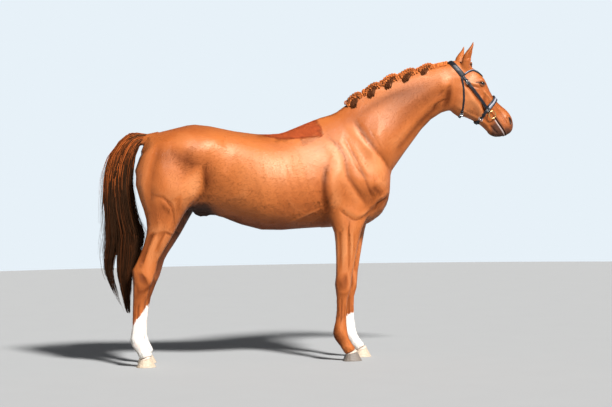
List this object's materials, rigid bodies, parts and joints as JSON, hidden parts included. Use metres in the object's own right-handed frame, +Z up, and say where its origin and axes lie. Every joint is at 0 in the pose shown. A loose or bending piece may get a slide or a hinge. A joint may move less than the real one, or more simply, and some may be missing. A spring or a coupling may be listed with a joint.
{
  "type": "horse, a standing chestnut stallion in a bridle",
  "caption": "Life-size standing chestnut riding horse with plaited mane, white stockings, loose tail and a black snaffle bridle without reins.",
  "frame": {"origin": "on the ground, under the middle of the bounding box of the whole horse", "axes": "+X towards the head, +Y to the horse's left, +Z up"},
  "size_m": [2.8882, 0.6056, 2.1733],
  "materials": {
    "coat": "short glossy clipped hair, chestnut, white on the lower parts of three legs",
    "long_hair": "long coarse hair, red-brown at the root and dark brown below",
    "hoof_horn": "horn with fine growth rings",
    "eye": "wet, dark brown",
    "bridle_leather": "black bridle leather, rounded and stitched edges",
    "bridle_padding": "padded silver-grey leather with black edges",
    "brass": "polished"
  },
  "bodies": {
    "root": {"head": "coat", "neck": "coat", "trunk": "coat", "foreleg_right": "coat", "foreleg_left": "coat", "hindleg_right": "coat", "hindleg_left": "coat", "ear_right": "coat", "ear_left": "coat", "hoof_fore_right": "hoof_horn", "hoof_fore_left": "hoof_horn", "hoof_hind_right": "hoof_horn", "hoof_hind_left": "hoof_horn", "eye_right": "eye", "eye_left": "eye", "tail": "long_hair", "headpiece": "bridle_leather", "cheekpiece_right": "bridle_leather", "cheekpiece_left": "bridle_leather", "chin_strap": "bridle_leather", "throatlash": "bridle_leather", "noseband": "bridle_padding", "browband": "bridle_padding", "bit_ring_right": "brass", "bit_ring_left": "brass"}
  },
  "joints": []
}
